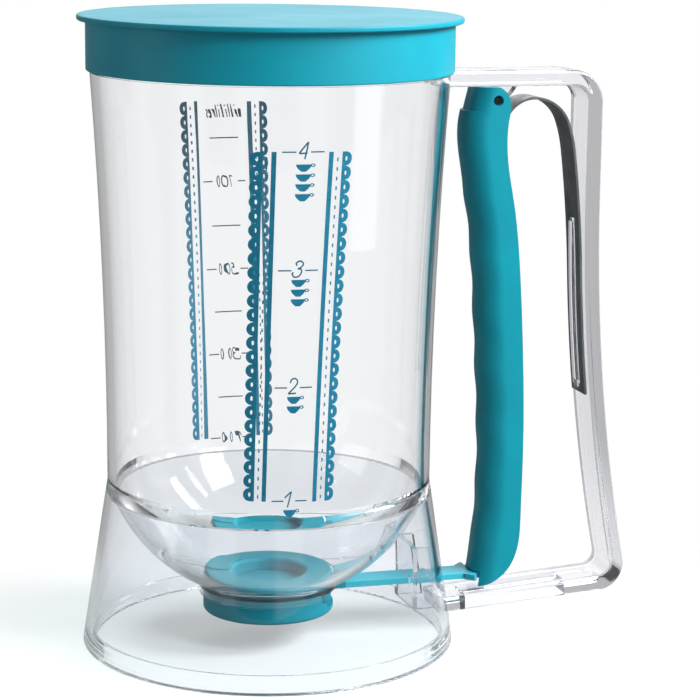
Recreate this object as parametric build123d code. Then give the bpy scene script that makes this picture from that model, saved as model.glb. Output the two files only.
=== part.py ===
from build123d import *
import os
from math import acos, atan2, cos, hypot, pi, sin, sqrt

# A batter dispenser: a clear jug with a bowl bottom stands on a flared skirt, and a slide valve under the
# bowl is drawn open by a trigger that hangs in the handle. Millimetres, +Z up. The origin is on the jug's
# axis, on the surface it stands on. The handle points along +X and everything is symmetrical about the XZ
# plane, but for the lift tab of the valve seat.

# ---- jug, bowl and skirt ----
total_height = 210.0        # to the top of the lid
waist_r = 54.0              # outside, where the jug meets the skirt
waist_z = 56.0
shoulder_flare = 4.7        # how much wider the jug is under the lid than at its waist
belly_flare = 1.1           # the same half way up, so the wall is slightly curved
jug_wall = 2.6
bowl_wall = 2.4
bowl_flat_r = 15.9          # where the bowl's round inside would reach the level of its floor
bowl_floor_z = 20.0
bowl_floor_t = 1.4
skirt_flare = 8.7           # how much wider the skirt's foot is than the waist
skirt_wall = 2.2
joint_z = 52.0              # the bonded joint between the jug and the skirt
foot_bead_t = 4.2           # the skirt's thickened foot
foot_bead_h = 6.0
foot_round = 0.8

# ---- lid ----
lid_height = 17.9
lid_panel_t = 2.0
lid_flange_t = 1.8
lid_flange_out = 2.8
lid_wall = 1.8
lid_fit = 0.35
lid_gap = 0.5               # between the lid's edge and the jug's shoulder
rim_gap = 0.4               # between the jug's rim and the lid's panel
rim_step = 0.9
rim_wall = 1.7
plug_depth = 6.0
plug_wall = 1.4
lid_flange_round = 0.6
lid_edge_round = 0.5

# ---- handle frame ----
frame_reach = 54.5          # from the shoulder of the jug to the back of the upright
frame_foot_out = 15.0       # how much further out the upright's lower end runs
frame_band = 5.2
frame_width = 18.0
frame_low_z = 6.1           # underside of the lower arm where it meets the skirt
frame_low_rise = 4.2        # rise of the lower arm along its length
frame_top_corner_r = 11.0
frame_foot_corner_r = 9.5
frame_edge_r = 1.2
bend_drop = 41.0            # the upright is straight this far down, and then it bows out
trim_over = 5.0             # how far the shape that trims the frame against the jug stands above the arm
core_depth = 3.0            # moulded hollow in the underside of the lower arm
core_width = 9.0
core_start = 6.0            # from the skirt
core_end = 23.0             # from the upright's back
lug_t = 6.0
lug_r = 4.2
lug_foot_out = 8.7          # the lug's slanting edge meets the arm this far behind the pin

# ---- pivot pin ----
pin_d = 2.8
pin_back = 17.2             # from the shoulder to the pin
pin_drop = 4.7              # from the underside of the upper arm to the pin
pin_fit = 0.01              # radial, in the lug
pin_run = 0.05              # radial, in the trigger
pin_recess = 0.6
pin_chamfer = 0.3
pin_counterbore_d = 3.5
pin_counterbore_depth = 1.0

# ---- trigger ----
trigger_width = 17.0
trigger_wall = 2.0
trigger_front_flat = 2.0    # across the front, between its rounded edges
trigger_top = 4.4           # above the pin
trigger_ledge = 3.4         # the grip's front starts this far below the pin
head_setback = 1.3
head_top_front = -6.7
lever_below_bar = 2.5       # the trigger's side walls end this far under the draw bar
head_len = 9.0              # how far the head runs down inside the grip, from the ledge
head_round = 1.2            # the head's rounded upper back corner
boss_r = 3.1
boss_gap = 0.3              # between the trigger's bosses and the lug
lug_gap = 0.5               # each side of the lug in the head's slot
lug_gap_front = 0.8
ledge_x = 4.0               # the ledges that carry the spring's end, from the pin
ledge_l, ledge_t = 3.0, 1.5
ledge_in = 3.5
ledge_gap = 0.3
# Front, back and toe of the grip: share of the way down from the pin to the bar, and x from the pin.
grip_front = [(0.022, -9.9), (0.08, -10.7), (0.155, -9.1), (0.28, -6.0), (0.44, -3.9), (0.585, -2.5),
              (0.69, -1.7), (0.88, -2.3), (0.955, -3.7), (1.021, -5.4)]
grip_back = [(0.022, 4.4), (0.085, 3.4), (0.14, 4.2), (0.205, 6.2), (0.345, 9.0), (0.515, 10.8), (0.73, 11.8)]
grip_toe = [(0.87, 11.5), (0.94, 10.6), (0.985, 7.3), (1.01, 2.4), (1.021, -2.5)]
wave_from, wave_to = 0.15, 0.87     # the share of the grip with finger waves
wave_count = 6
wave_height = 0.25
moved_points = 24           # points that place an offset line

# ---- leaf spring ----
spring_t = 0.8
spring_side_play = 0.3      # each side of it inside the trigger
spring_gap = 0.3            # off the upright
spring_start = (3.37, -7.4)         # its upper end, from the pin
spring_crest_rise = 0.4             # the top of its arch, above the pin
# Its arch in shares of the way from the pin to the upright: distance from the pin, and drop from the crest.
spring_crest_share = 0.427
spring_elbow, spring_knee = (0.81, 0.268), (0.885, 0.5732)
spring_end_drop = 102.0     # its lower end below the pin
spring_slot_w = 4.0
spring_slot_from, spring_slot_to = 41.0, 99.2   # below the pin
rib_w = 3.0                 # moulded keeper rib that stands in the slot
rib_out = 2.3
rib_play = 1.4              # from the slot's ends
hook_drop = 2.8
hook_t = 1.0

# ---- slide valve ----
bar_t = 2.0
bar_width = 10.0
bar_under_floor = 0.2       # running gap between the slide and the bowl's underside
seat_bore_r = 12.5          # the hole; what lies round it is given by how much wider it is
seat_recess_out = 9.9       # flat recess in the bowl for the valve seat
collar_out = 10.9           # collar under the bowl, round the top of the valve housing
collar_drop = 2.0           # how far the collar hangs below the bowl's underside
collar_fit = 0.15           # radial, round the housing
housing_out = 9.55
gate_side_out = 4.7
gate_front_out = 2.7        # to the gate's closing edge
gate_back_out = 5.5
gate_corner_r = 8.0
gate_back_round = 3.0
tongue_len = 8.0            # from the gate's back to where its tongue meets the bar
key_neck = 4.0
key_head = 7.0
key_len = 6.0
side_play = 0.3
way_gap = 0.6               # between the gate's closing edge and the end of its way
seat_neck_out = 3.5
seat_t = 2.6
seat_edge_round = 1.2
seat_mouth_round = 1.4
seat_edge_gap = 0.3
neck_fit = 0.2
gasket_t = 0.5
tab_r = 8.0
tab_t = 0.6
tab_at = (-13.7, 9.0)
tab_mouth_gap = 1.2         # between the tab and the seat's hole
tab_edge_gap = 0.5
gasket_edge_gap = 1.0
seal_out = 1.4
seal_d = 1.0
seal_gap = 0.05
housing_depth = 8.2
housing_floor_t = 2.3
outlet_out = 1.0
outlet_wall = 1.5
outlet_gap = 0.2
rail_w = 3.0
housing_round = 1.2

# ---- draw bar's head ----
head_x = -7.4               # its front edge, from the pin
barb_out = 8.3
barb_len = 0.7
barb_step = 0.6             # from the bar's side to the foot of its barbs
hook_stand = 4.2            # how high its hook stands behind the trigger's front wall
hook_wall = 2.0
hook_half_w = 3.0
hook_play = 0.4
notch_up = 0.5              # gaps round the bar in the trigger's notch
notch_down = 1.65
notch_back = 0.6
slot_play = 0.3             # gap round the bar in the skirt's slot
way_back = 3.6              # the way for the bar up through the trigger's foot ends this far behind the pin

# ---- bar guide inside the skirt ----
guide_x = 48.6
guide_t = 2.0
guide_half_w = 10.0
guide_low, guide_high = 8.5, 30.0
guide_sunk = 0.5            # its edges end this far inside the skirt's outer surface

past = 1.0                  # how far a cutting shape runs past what it cuts
sunk = 0.5                  # how far a boss, ledge or web is let into what carries it

# ---- derived levels and radii ----
shoulder_r = waist_r + shoulder_flare
belly_r = waist_r + belly_flare
base_r = waist_r + skirt_flare
lid_bottom_z = total_height - lid_height
shoulder_z = lid_bottom_z - lid_gap
belly_z = (waist_z + shoulder_z) / 2
panel_under_z = total_height - lid_panel_t
rim_top_z = panel_under_z - rim_gap
rim_outer_r = shoulder_r - rim_step
rim_inner_r = rim_outer_r - rim_wall
crease_z = waist_z + 1.0
crease_r = waist_r - jug_wall
bowl_under_z = bowl_floor_z - bowl_floor_t
bowl_centre_z = (crease_r**2 - bowl_flat_r**2 + crease_z**2 - bowl_floor_z**2) / (2 * (crease_z - bowl_floor_z))
bowl_inner_r = hypot(crease_r, crease_z - bowl_centre_z)
bowl_outer_r = bowl_inner_r + bowl_wall

frame_top_z = shoulder_z
arm_under_z = frame_top_z - frame_band
upright_x = shoulder_r + frame_reach
foot_x = upright_x + frame_foot_out
bend_z = frame_top_z - bend_drop
foot_z = frame_low_z + frame_low_rise
low_slope = frame_low_rise / (foot_x - base_r)
bow_r = ((bend_z - foot_z) ** 2 + frame_foot_out**2) / (2 * frame_foot_out)
bow_centre_x = upright_x + bow_r

pin_x = shoulder_r + pin_back
pin_z = arm_under_z - pin_drop
bar_top_z = bowl_under_z - bar_under_floor
bar_z = bar_top_z - bar_t
lever = pin_z - (bar_z + bar_t / 2)
inner_half = trigger_width / 2 - trigger_wall
trigger_front_r = (trigger_width - trigger_front_flat) / 2
notch_top_z = bar_top_z + notch_up
notch_low_z = bar_z - notch_down
trigger_low_z = bar_z - lever_below_bar
spring_span = upright_x - frame_band - pin_x
spring_width = 2 * (inner_half - spring_side_play)
ledge_z = pin_z + spring_start[1] - spring_t / 2 - ledge_gap
hook_top_z = notch_top_z + hook_stand
hook_x = pin_x + grip_front[-2][1] + trigger_wall + hook_play
barb_back_x = pin_x + head_x + (barb_out - bar_width / 2 - barb_step) + barb_len
seat_recess_r = seat_bore_r + seat_recess_out
seat_neck_r = seat_bore_r + seat_neck_out
seal_r = seat_bore_r + seal_out
gate_half_w = seat_bore_r + gate_side_out
gate_front = seat_bore_r + gate_front_out
gate_back = seat_bore_r + gate_back_out
tongue_end = gate_back + tongue_len
outlet_r = seat_bore_r + outlet_out
collar_r = seat_bore_r + collar_out
collar_low_z = bowl_under_z - collar_drop
housing_r = seat_bore_r + housing_out
housing_low_z = bowl_under_z - housing_depth
housing_floor_z = housing_low_z + housing_floor_t


def outer_wall_r(z):
    """Radius of the jug's slightly curved outside at a height, on the circle through its three named points."""
    (ax, az), (bx, bz), (cx, cz) = (waist_r, waist_z), (belly_r, belly_z), (shoulder_r, shoulder_z)
    d = 2 * (ax * (bz - cz) + bx * (cz - az) + cx * (az - bz))
    sa, sb, sc = ax * ax + az * az, bx * bx + bz * bz, cx * cx + cz * cz
    ux = (sa * (bz - cz) + sb * (cz - az) + sc * (az - bz)) / d
    uz = (sa * (cx - bx) + sb * (ax - cx) + sc * (bx - ax)) / d
    radius = hypot(ax - ux, az - uz)
    return ux + (sqrt(radius**2 - (z - uz) ** 2) if ux < 0 else -sqrt(radius**2 - (z - uz) ** 2))


def skirt_r(z):
    """Outside radius of the skirt, a cone from the waist to the foot."""
    return base_r - (base_r - waist_r) * z / waist_z


def ball_r(radius, z):
    """Radius of the bowl's ball at a height."""
    return sqrt(radius**2 - (z - bowl_centre_z) ** 2)


def ball_z(radius, r):
    """Height of the lower half of the bowl's ball at a distance from the axis."""
    return bowl_centre_z - sqrt(radius**2 - r**2)


def turned(edges):
    """A solid turned about the axis from a closed outline in (r, z)."""
    return revolve(Plane.XZ * make_face(edges), axis=Axis.Z)


def slab(face, width, at=0.0):
    """A flat shape in (x, z), given a width in y about y = at."""
    return Pos(0, at, 0) * extrude(Plane.XZ * face, amount=width / 2, both=True)


def block(x0, x1, y0, y1, z0, z1):
    return Pos((x0 + x1) / 2, (y0 + y1) / 2, (z0 + z1) / 2) * Box(x1 - x0, y1 - y0, z1 - z0)


def plate(outline, z0, z1):
    """A flat shape in (x, y), from z0 to z1."""
    return Pos(0, 0, z0) * extrude(make_face(outline), amount=z1 - z0)


def disc(radius, z0, z1, x=0.0, y=0.0):
    return Pos(x, y, (z0 + z1) / 2) * Cylinder(radius, z1 - z0)


def across(radius, y0, y1, x, z):
    """A cylinder along y."""
    return Pos(x, (y0 + y1) / 2, z) * Rot(90, 0, 0) * Cylinder(radius, y1 - y0)


def make_jug():
    wall_mid_z = (crease_z + shoulder_z) / 2
    bowl_mid_z = bowl_centre_z - bowl_inner_r * 0.8
    bowl_out_mid_z = bowl_centre_z - bowl_outer_r * 0.75
    recess_z = ball_z(bowl_inner_r, seat_recess_r)
    collar_z = ball_z(bowl_outer_r, collar_r)
    collar_in_r = housing_r + collar_fit
    way_half = gate_half_w + side_play
    neck_hole_r = seat_neck_r + neck_fit
    joint_in_r = ball_r(bowl_outer_r, joint_z)
    inside = [
        Polyline((neck_hole_r, bowl_floor_z), (seat_recess_r, bowl_floor_z), (seat_recess_r, recess_z)),
        ThreePointArc((seat_recess_r, recess_z), (ball_r(bowl_inner_r, bowl_mid_z), bowl_mid_z),
                      (crease_r, crease_z)),
        ThreePointArc((crease_r, crease_z), (outer_wall_r(wall_mid_z) - jug_wall, wall_mid_z),
                      (shoulder_r - jug_wall, shoulder_z)),
        Polyline((shoulder_r - jug_wall, shoulder_z), (rim_inner_r, rim_top_z), (rim_outer_r, rim_top_z),
                 (rim_outer_r, shoulder_z), (shoulder_r, shoulder_z)),
    ]
    outside = [
        ThreePointArc((shoulder_r, shoulder_z), (belly_r, belly_z), (waist_r, waist_z)),
        Polyline((waist_r, waist_z), (skirt_r(joint_z), joint_z), (joint_in_r, joint_z)),
        ThreePointArc((joint_in_r, joint_z), (ball_r(bowl_outer_r, bowl_out_mid_z), bowl_out_mid_z),
                      (collar_r, collar_z)),
        Polyline((collar_r, collar_z), (collar_r, collar_low_z), (collar_in_r, collar_low_z),
                 (collar_in_r, bowl_under_z), (neck_hole_r, bowl_under_z), (neck_hole_r, bowl_floor_z)),
    ]
    gate_way = block(0, collar_r + past, -way_half, way_half, collar_low_z - past, bowl_under_z)
    return turned(inside + outside) - gate_way


def make_skirt():
    inner_r = skirt_r(foot_bead_h) - skirt_wall
    bead_r = base_r - foot_bead_t
    face = make_face(Polyline(
        (bead_r, 0), (base_r, 0), (skirt_r(joint_z), joint_z), (skirt_r(joint_z) - skirt_wall, joint_z),
        (inner_r, foot_bead_h), (bead_r, foot_bead_h), (bead_r, 0)))
    foot = face.vertices().filter_by_position(Axis.Y, -0.1, 0.1)
    skirt = revolve(Plane.XZ * fillet(foot, foot_round), axis=Axis.Z)
    middle_z = (guide_low + guide_high) / 2
    reach = skirt_r(middle_z) - skirt_wall / 2
    cheek_y = guide_half_w - guide_t
    cheeks = [block(guide_x, reach, *sorted((side * cheek_y, side * guide_half_w)), guide_low, guide_high)
              for side in (-1, 1)]
    end_plate = block(guide_x, guide_x + guide_t, -guide_half_w, guide_half_w, guide_low, guide_high)
    foot_r, joint_r = skirt_r(0) - guide_sunk, skirt_r(joint_z) - guide_sunk
    inside = turned(Polyline((0, 0), (foot_r, 0), (joint_r, joint_z), (0, joint_z), (0, 0)))
    guide = (end_plate + cheeks[0] + cheeks[1]) & inside
    half = bar_width / 2 + slot_play
    bar_way = block(guide_x - past, base_r + past, -half, half, bar_z - slot_play, bar_top_z + slot_play)
    return skirt + guide - bar_way


def jug_envelope():
    """What lies within the outside of the jug and skirt on the handle's side, to trim what is bonded there."""
    high = shoulder_z + trim_over
    whole = turned([
        Polyline((0, high), (0, 0), (base_r, 0), (waist_r, waist_z)),
        ThreePointArc((waist_r, waist_z), (belly_r, belly_z), (shoulder_r, shoulder_z)),
        Polyline((shoulder_r, shoulder_z), (shoulder_r, high), (0, high)),
    ])
    return whole & block(0, base_r + past, -frame_width, frame_width, 0, high)


def frame_outline(inset):
    """The handle frame's outline in (x, z), inset by a distance; its left side lies inside the jug."""
    left = waist_r / 2
    right = upright_x - inset
    top = frame_top_z - inset
    radius = bow_r + inset
    low_left = frame_low_z + inset - low_slope * (base_r - left)
    low_z = foot_z + inset
    low_x = bow_centre_x - sqrt(radius**2 - (bend_z - low_z) ** 2)
    mid_z = (bend_z + low_z) / 2
    bow = ThreePointArc((right, bend_z), (bow_centre_x - sqrt(radius**2 - (bend_z - mid_z) ** 2), mid_z),
                        (low_x, low_z))
    straight = Polyline((low_x, low_z), (left, low_left), (left, top), (right, top), (right, bend_z))
    face = make_face([straight, bow])
    top_corner = face.vertices().sort_by_distance((right, top, 0))[0]
    face = fillet(top_corner, max(frame_top_corner_r - inset, 1.0))
    foot_corner = face.vertices().sort_by_distance((low_x, low_z, 0))[0]
    return fillet(foot_corner, max(frame_foot_corner_r - inset, 1.0))


def pin_lug():
    """The web under the upper arm that carries the pin: a round boss with a slanting back edge."""
    top = pin_drop + sunk
    distance = hypot(lug_foot_out, pin_drop)
    angle = atan2(pin_drop, lug_foot_out) - acos(lug_r / distance)
    web = make_face(Polyline((-lug_r, 0), (-lug_r, top), (lug_foot_out + sunk, top), (lug_foot_out, pin_drop),
                             (lug_r * cos(angle), lug_r * sin(angle)), (-lug_r, 0)))
    return Pos(pin_x, 0, pin_z) * slab(web + Circle(lug_r), lug_t)


def keeper_rib(band_inside):
    """The rib on the upright's inner face that stands in the spring's slot and hooks over its lower end."""
    high, low = pin_z - spring_slot_from - rib_play, pin_z - spring_slot_to + rib_play
    raised = slab(band_inside - frame_outline(frame_band + rib_out), rib_w)
    rib = raised & block(pin_x, foot_x, -rib_w, rib_w, low, high)
    lip = slab(frame_outline(frame_band + rib_out - hook_t) - frame_outline(frame_band + rib_out), rib_w)
    return rib + (lip & block(pin_x, foot_x, -rib_w, rib_w, low - hook_drop, low + sunk))


def make_frame():
    outer, inner = frame_outline(0), frame_outline(frame_band)
    band = slab(outer - inner, frame_width)
    rims = band.edges().filter_by_position(Axis.Y, frame_width / 2 - 0.01, frame_width / 2 + 0.01)
    rims += band.edges().filter_by_position(Axis.Y, -frame_width / 2 - 0.01, -frame_width / 2 + 0.01)
    band = fillet(rims, frame_edge_r)
    core_from, core_to = base_r + core_start, foot_x - core_end
    core = slab(frame_outline(-2.0) - frame_outline(core_depth), core_width)
    core = core & block(core_from, core_to, -core_width, core_width, -5, frame_low_z + frame_band + 4)
    hole = across(pin_d / 2 + pin_fit, -lug_t, lug_t, pin_x, pin_z)
    return band - core - jug_envelope() + keeper_rib(inner) + pin_lug() - hole


def make_lid():
    skirt_out = rim_outer_r + lid_fit + lid_wall
    skirt_in = rim_outer_r + lid_fit
    plug_out = rim_inner_r - lid_fit
    flange_r = skirt_out + lid_flange_out
    flange_z = total_height - lid_flange_t
    face = make_face(Polyline(
        (0, total_height), (flange_r, total_height), (flange_r, flange_z), (skirt_out, flange_z),
        (skirt_out, lid_bottom_z), (skirt_in, lid_bottom_z), (skirt_in, panel_under_z),
        (plug_out, panel_under_z), (plug_out, panel_under_z - plug_depth),
        (plug_out - plug_wall, panel_under_z - plug_depth),
        (plug_out - plug_wall, panel_under_z), (0, panel_under_z), (0, total_height)))
    rim = face.vertices().filter_by_position(Axis.X, flange_r - 0.1, flange_r + 0.1)
    rounded = fillet(rim, lid_flange_round)
    edge = rounded.vertices().filter_by_position(Axis.Y, lid_bottom_z - 0.1, lid_bottom_z + 0.1)
    return revolve(Plane.XZ * fillet(edge, lid_edge_round), axis=Axis.Z)


def from_pin(points):
    """Points given as (share of the lever down from the pin, x from the pin), in (x, z)."""
    return [(pin_x + x, pin_z - share * lever) for share, x in points]


def beside(curve, share, distance):
    """The point at a share of a curve's length, moved to the curve's left by a distance."""
    point, way = curve @ share, curve % share
    return (point.X - way.Y * distance, point.Y + way.X * distance)


def moved(curve, distance):
    """A curve like another, moved to its left by a distance."""
    return Spline(*[beside(curve, i / moved_points, distance) for i in range(moved_points + 1)])


def grip_outline(inset):
    """Side shape of the grip, from the ledge down: a waved front, a plain back and a rounded toe."""
    base = Spline(*from_pin(grip_front))
    count = 4 * wave_count
    stations = [wave_from + (wave_to - wave_from) * i / count for i in range(count + 1)]
    crests = [base @ station - Vector(wave_height * sin(pi * i / 2), 0) for i, station in enumerate(stations)]
    points = [base @ 0, base @ (wave_from / 2), *crests, base @ ((1 + wave_to) / 2), base @ 1]
    front = Spline(*[(p.X, p.Y) for p in points])
    back = Spline(*from_pin(grip_back + grip_toe))
    if inset:
        front, back = moved(base, inset + wave_height / 2), moved(back, -inset)
    return make_face([front, back, Line(front @ 0, back @ 0), Line(front @ 1, back @ 1)])


def head_outline(inset):
    """Side shape of the head round the pin, set back in front of the grip."""
    top, low = trigger_top, -trigger_ledge - head_len
    front_low, front_top, back = grip_front[0][1] + head_setback, head_top_front, grip_back[0][1]
    crown = ThreePointArc((0.5, top), (back - head_round, top / 2), (back, -head_round))
    rest = Polyline((back, -head_round), (back, -trigger_ledge - 0.1), (back - 1.5, low), (front_low, low),
                    (front_low, -trigger_ledge), (front_top, top), (0.5, top))
    face = Pos(pin_x, pin_z) * make_face([crown, rest])
    return offset(face, amount=-inset) if inset else face


def rounded_front(face, width, radius, front_to, longer_than):
    """A side shape given a width, with the long edges down its front rounded."""
    solid = slab(face, width)
    edges = solid.edges().filter_by_position(Axis.Y, -width / 2 - 0.01, -width / 2 + 0.01)
    edges += solid.edges().filter_by_position(Axis.Y, width / 2 - 0.01, width / 2 + 0.01)
    front = edges.filter_by(lambda edge: edge.length > longer_than and edge.center().X < front_to)
    return fillet(front, radius)


def open_behind(space, above):
    """A hollow opened through the wall behind it, above a height."""
    return space + (Pos(2.5 * trigger_wall, 0, 0) * space & block(0, pin_x + 50, -50, 50, above, pin_z + 50))


def make_trigger():
    half = trigger_width / 2
    toe_z = pin_z - grip_toe[0][0] * lever
    half_way, head_r = pin_x + 2.0, trigger_front_r - head_setback
    grip_solid = rounded_front(grip_outline(0), trigger_width, trigger_front_r, half_way, 100)
    inner = grip_outline(trigger_wall)
    upper = Pos(pin_x, (pin_z + notch_top_z) / 2) * Rectangle(100, pin_z - notch_top_z)
    grip_space = rounded_front(inner & upper, 2 * inner_half, trigger_front_r - trigger_wall, half_way, 100)
    toe_space = slab(inner, 2 * inner_half) & block(half_way, pin_x + 50, -50, 50, 0, notch_top_z + 1)
    head_front = pin_x - 4.5
    head_solid = rounded_front(head_outline(0), trigger_width, head_r, head_front, 1)
    head_space = head_outline(trigger_wall)
    head_space = rounded_front(head_space, 2 * inner_half, head_r - trigger_wall, head_front, 1)
    grip_space, head_space = open_behind(grip_space + toe_space, toe_z), open_behind(head_space, 0)
    neck_space = block(pin_x + grip_front[0][1] + head_setback + 3 * trigger_wall, pin_x + 8, -inner_half,
                       inner_half, pin_z - trigger_ledge - 3 * trigger_wall, pin_z)
    solid = grip_solid + head_solid - grip_space - head_space - neck_space
    for side in (-1, 1):
        boss_y = sorted((side * (lug_t / 2 + boss_gap), side * (inner_half + sunk)))
        solid = solid + across(boss_r, *boss_y, pin_x, pin_z)
        ledge_y = sorted((side * ledge_in, side * (inner_half + sunk)))
        solid = solid + block(pin_x + ledge_x - ledge_l, pin_x + ledge_x, *ledge_y, ledge_z - ledge_t, ledge_z)
    hole = across(pin_d / 2 + pin_run, -trigger_width, trigger_width, pin_x, pin_z)
    for side in (-1, 1):
        mouth = sorted((side * (half - pin_counterbore_depth), side * (half + past)))
        hole = hole + across(pin_counterbore_d / 2, *mouth, pin_x, pin_z)
    lug_half = lug_t / 2 + lug_gap
    lug_way = block(pin_x - lug_r - lug_gap_front, pin_x + 12, -lug_half, lug_half, pin_z + 1, pin_z + 12)
    notch = block(pin_x - 20, barb_back_x + notch_back, -half - past, half + past, notch_low_z, notch_top_z)
    bar_way = block(pin_x - 20, pin_x + way_back, -inner_half, inner_half, trigger_low_z - 2, notch_top_z)
    return solid - hole - lug_way - notch - bar_way


def make_pin():
    half = trigger_width / 2 - pin_recess
    pin = across(pin_d / 2, -half, half, pin_x, pin_z)
    return chamfer(pin.edges().filter_by(GeomType.CIRCLE), pin_chamfer)


def ribbon(arcs, thickness):
    """A strip of a thickness along arcs that join smoothly."""
    left, right = [
        [ThreePointArc(*[beside(arc, share, side * thickness / 2) for share in (0, 0.5, 1)]) for arc in arcs]
        for side in (1, -1)]
    return make_face([*left, *right, Line(left[0] @ 0, right[0] @ 0), Line(left[-1] @ 1, right[-1] @ 1)])


def make_spring():
    start = (pin_x + spring_start[0], pin_z + spring_start[1])
    crest = (pin_x + spring_crest_share * spring_span, pin_z + spring_crest_rise)
    elbow, knee = [(pin_x + share * spring_span, crest[1] - drop * spring_span)
                   for share, drop in (spring_elbow, spring_knee)]
    radius = bow_r + frame_band + spring_gap + spring_t / 2
    top, end_z = (bow_centre_x - radius, bend_z), pin_z - spring_end_drop
    mid_z = (bend_z + end_z) / 2
    along = ThreePointArc(top, (bow_centre_x - sqrt(radius**2 - (bend_z - mid_z) ** 2), mid_z),
                          (bow_centre_x - sqrt(radius**2 - (bend_z - end_z) ** 2), end_z))
    left = ThreePointArc(start, TangentArc(crest, start, tangent=(-1, 0)) @ 0.5, crest)
    right = TangentArc(crest, elbow, tangent=(1, 0))
    turn = TangentArc(elbow, knee, tangent=right % 1)
    fall = DoubleTangentArc(knee, tangent=turn % 1, other=along)
    touch_z = (fall @ 1).Y
    mid_z = (touch_z + end_z) / 2
    rest = ThreePointArc(fall @ 1, (bow_centre_x - sqrt(radius**2 - (bend_z - mid_z) ** 2), mid_z), along @ 1)
    strip = slab(ribbon([left, right, turn, fall, rest], spring_t), spring_width)
    slot = block(pin_x + 15, foot_x, -spring_slot_w / 2, spring_slot_w / 2, pin_z - spring_slot_to,
                 pin_z - spring_slot_from)
    return strip - slot


def make_gate():
    half, neck, head = bar_width / 2, key_neck / 2, key_head / 2
    wide = make_face(Polyline((-gate_front, -gate_half_w), (gate_back, -gate_half_w), (gate_back, gate_half_w),
                              (-gate_front, gate_half_w), (-gate_front, -gate_half_w)))
    wide = fillet(wide.vertices().filter_by_position(Axis.X, -gate_front - 0.1, 0), gate_corner_r)
    wide = fillet(wide.vertices().filter_by_position(Axis.X, gate_back - 0.1, gate_back + 0.1), gate_back_round)
    tongue = Polyline((0, -half), (tongue_end, -half), (tongue_end, half), (0, half), (0, -half))
    outline = wide + make_face(tongue)
    near, far = tongue_end - key_len / 2, tongue_end - key_len
    key = make_face(Polyline((tongue_end + 1, -neck), (near, -neck), (near, -head), (far, -head), (far, head),
                             (near, head), (near, neck), (tongue_end + 1, neck), (tongue_end + 1, -neck)))
    return Pos(0, 0, bar_z) * extrude(outline - key, amount=bar_t)


def make_draw_bar():
    half, corner = bar_width / 2, bar_width / 2 + barb_step
    front, neck, head = pin_x + head_x, key_neck / 2, key_head / 2
    key_from, key_to = tongue_end - key_len, tongue_end - key_len / 2
    barb_x = front + (barb_out - corner)
    side = [(key_to, neck), (tongue_end, neck), (tongue_end, half), (front, half), (front, corner),
            (barb_x, barb_out), (barb_back_x, barb_out), (barb_back_x, half)]
    upper = [(key_from, head), (key_to, head)] + side + [(hook_x + hook_wall, half)]
    lower = [(x, -y) for x, y in reversed(upper)]
    bar = plate(Polyline(*upper, *lower, upper[0]), bar_z, bar_top_z)
    hook = block(hook_x, hook_x + hook_wall, -hook_half_w, hook_half_w, bar_z, hook_top_z)
    return bar + hook


def make_seat():
    under = bowl_floor_z + gasket_t
    top = under + seat_t
    flange_r = seat_recess_r - seat_edge_gap
    face = make_face(Polyline(
        (seat_bore_r, bowl_under_z), (seat_neck_r, bowl_under_z), (seat_neck_r, under), (flange_r, under),
        (flange_r, top), (seat_bore_r, top), (seat_bore_r, bowl_under_z)))
    face = fillet(face.vertices().sort_by_distance((flange_r, top, 0))[0], seat_edge_round)
    face = fillet(face.vertices().sort_by_distance((seat_bore_r, top, 0))[0], seat_mouth_round)
    tab = disc(tab_r, top - 0.2, top + tab_t, *tab_at) & disc(flange_r - tab_edge_gap, 0, 2 * top)
    groove = Pos(0, 0, bowl_under_z) * Torus(seal_r, seal_d / 2 + seal_gap)
    tab = tab - disc(seat_bore_r + tab_mouth_gap, 0, 2 * top)
    return revolve(Plane.XZ * face, axis=Axis.Z) + tab - groove


def make_seat_gasket():
    return disc(seat_recess_r - gasket_edge_gap, bowl_floor_z, bowl_floor_z + gasket_t) - disc(
        seat_neck_r + neck_fit, bowl_floor_z - past, bowl_floor_z + past)


def make_gate_seal():
    ring = Pos(0, 0, bowl_under_z) * Torus(seal_r, seal_d / 2)
    return ring & disc(seal_r + seal_d, bar_top_z + seal_gap, bowl_under_z + seal_d)


def make_housing():
    body = disc(housing_r, housing_low_z, bowl_under_z)
    body = fillet(body.edges().filter_by_position(Axis.Z, housing_low_z - 0.1, housing_low_z + 0.1), housing_round)
    half, way_end = gate_half_w + side_play, -gate_front - way_gap
    way = make_face(Polyline((way_end, -half), (housing_r + past, -half), (housing_r + past, half),
                             (way_end, half), (way_end, -half)))
    way = fillet(way.vertices().filter_by_position(Axis.X, way_end - 0.1, 0), gate_corner_r)
    channel = Pos(0, 0, housing_floor_z) * extrude(way, amount=housing_depth)
    rails = channel & disc(housing_r, housing_floor_z, bar_z - outlet_gap)
    rails = rails - block(-housing_r, housing_r, -half + rail_w, half - rail_w, 0, bowl_under_z)
    spout = disc(outlet_r + outlet_wall, housing_low_z, bar_z - outlet_gap)
    return body - channel + rails + spout - disc(outlet_r, housing_low_z - past, bowl_under_z)


makers = {
    "lid": make_lid,
    "jug": make_jug,
    "base_skirt": make_skirt,
    "handle_frame": make_frame,
    "trigger": make_trigger,
    "pivot_pin": make_pin,
    "leaf_spring": make_spring,
    "gate_plate": make_gate,
    "draw_bar": make_draw_bar,
    "valve_seat": make_seat,
    "seat_gasket": make_seat_gasket,
    "gate_seal": make_gate_seal,
    "valve_housing": make_housing,
}

os.makedirs("parts", exist_ok=True)
for name, make in makers.items():
    export_step(make(), f"parts/{name}.step")
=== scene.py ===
from math import cos, degrees, pi, radians, sin

import bmesh
import bpy
from mathutils import Matrix, Vector


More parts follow.
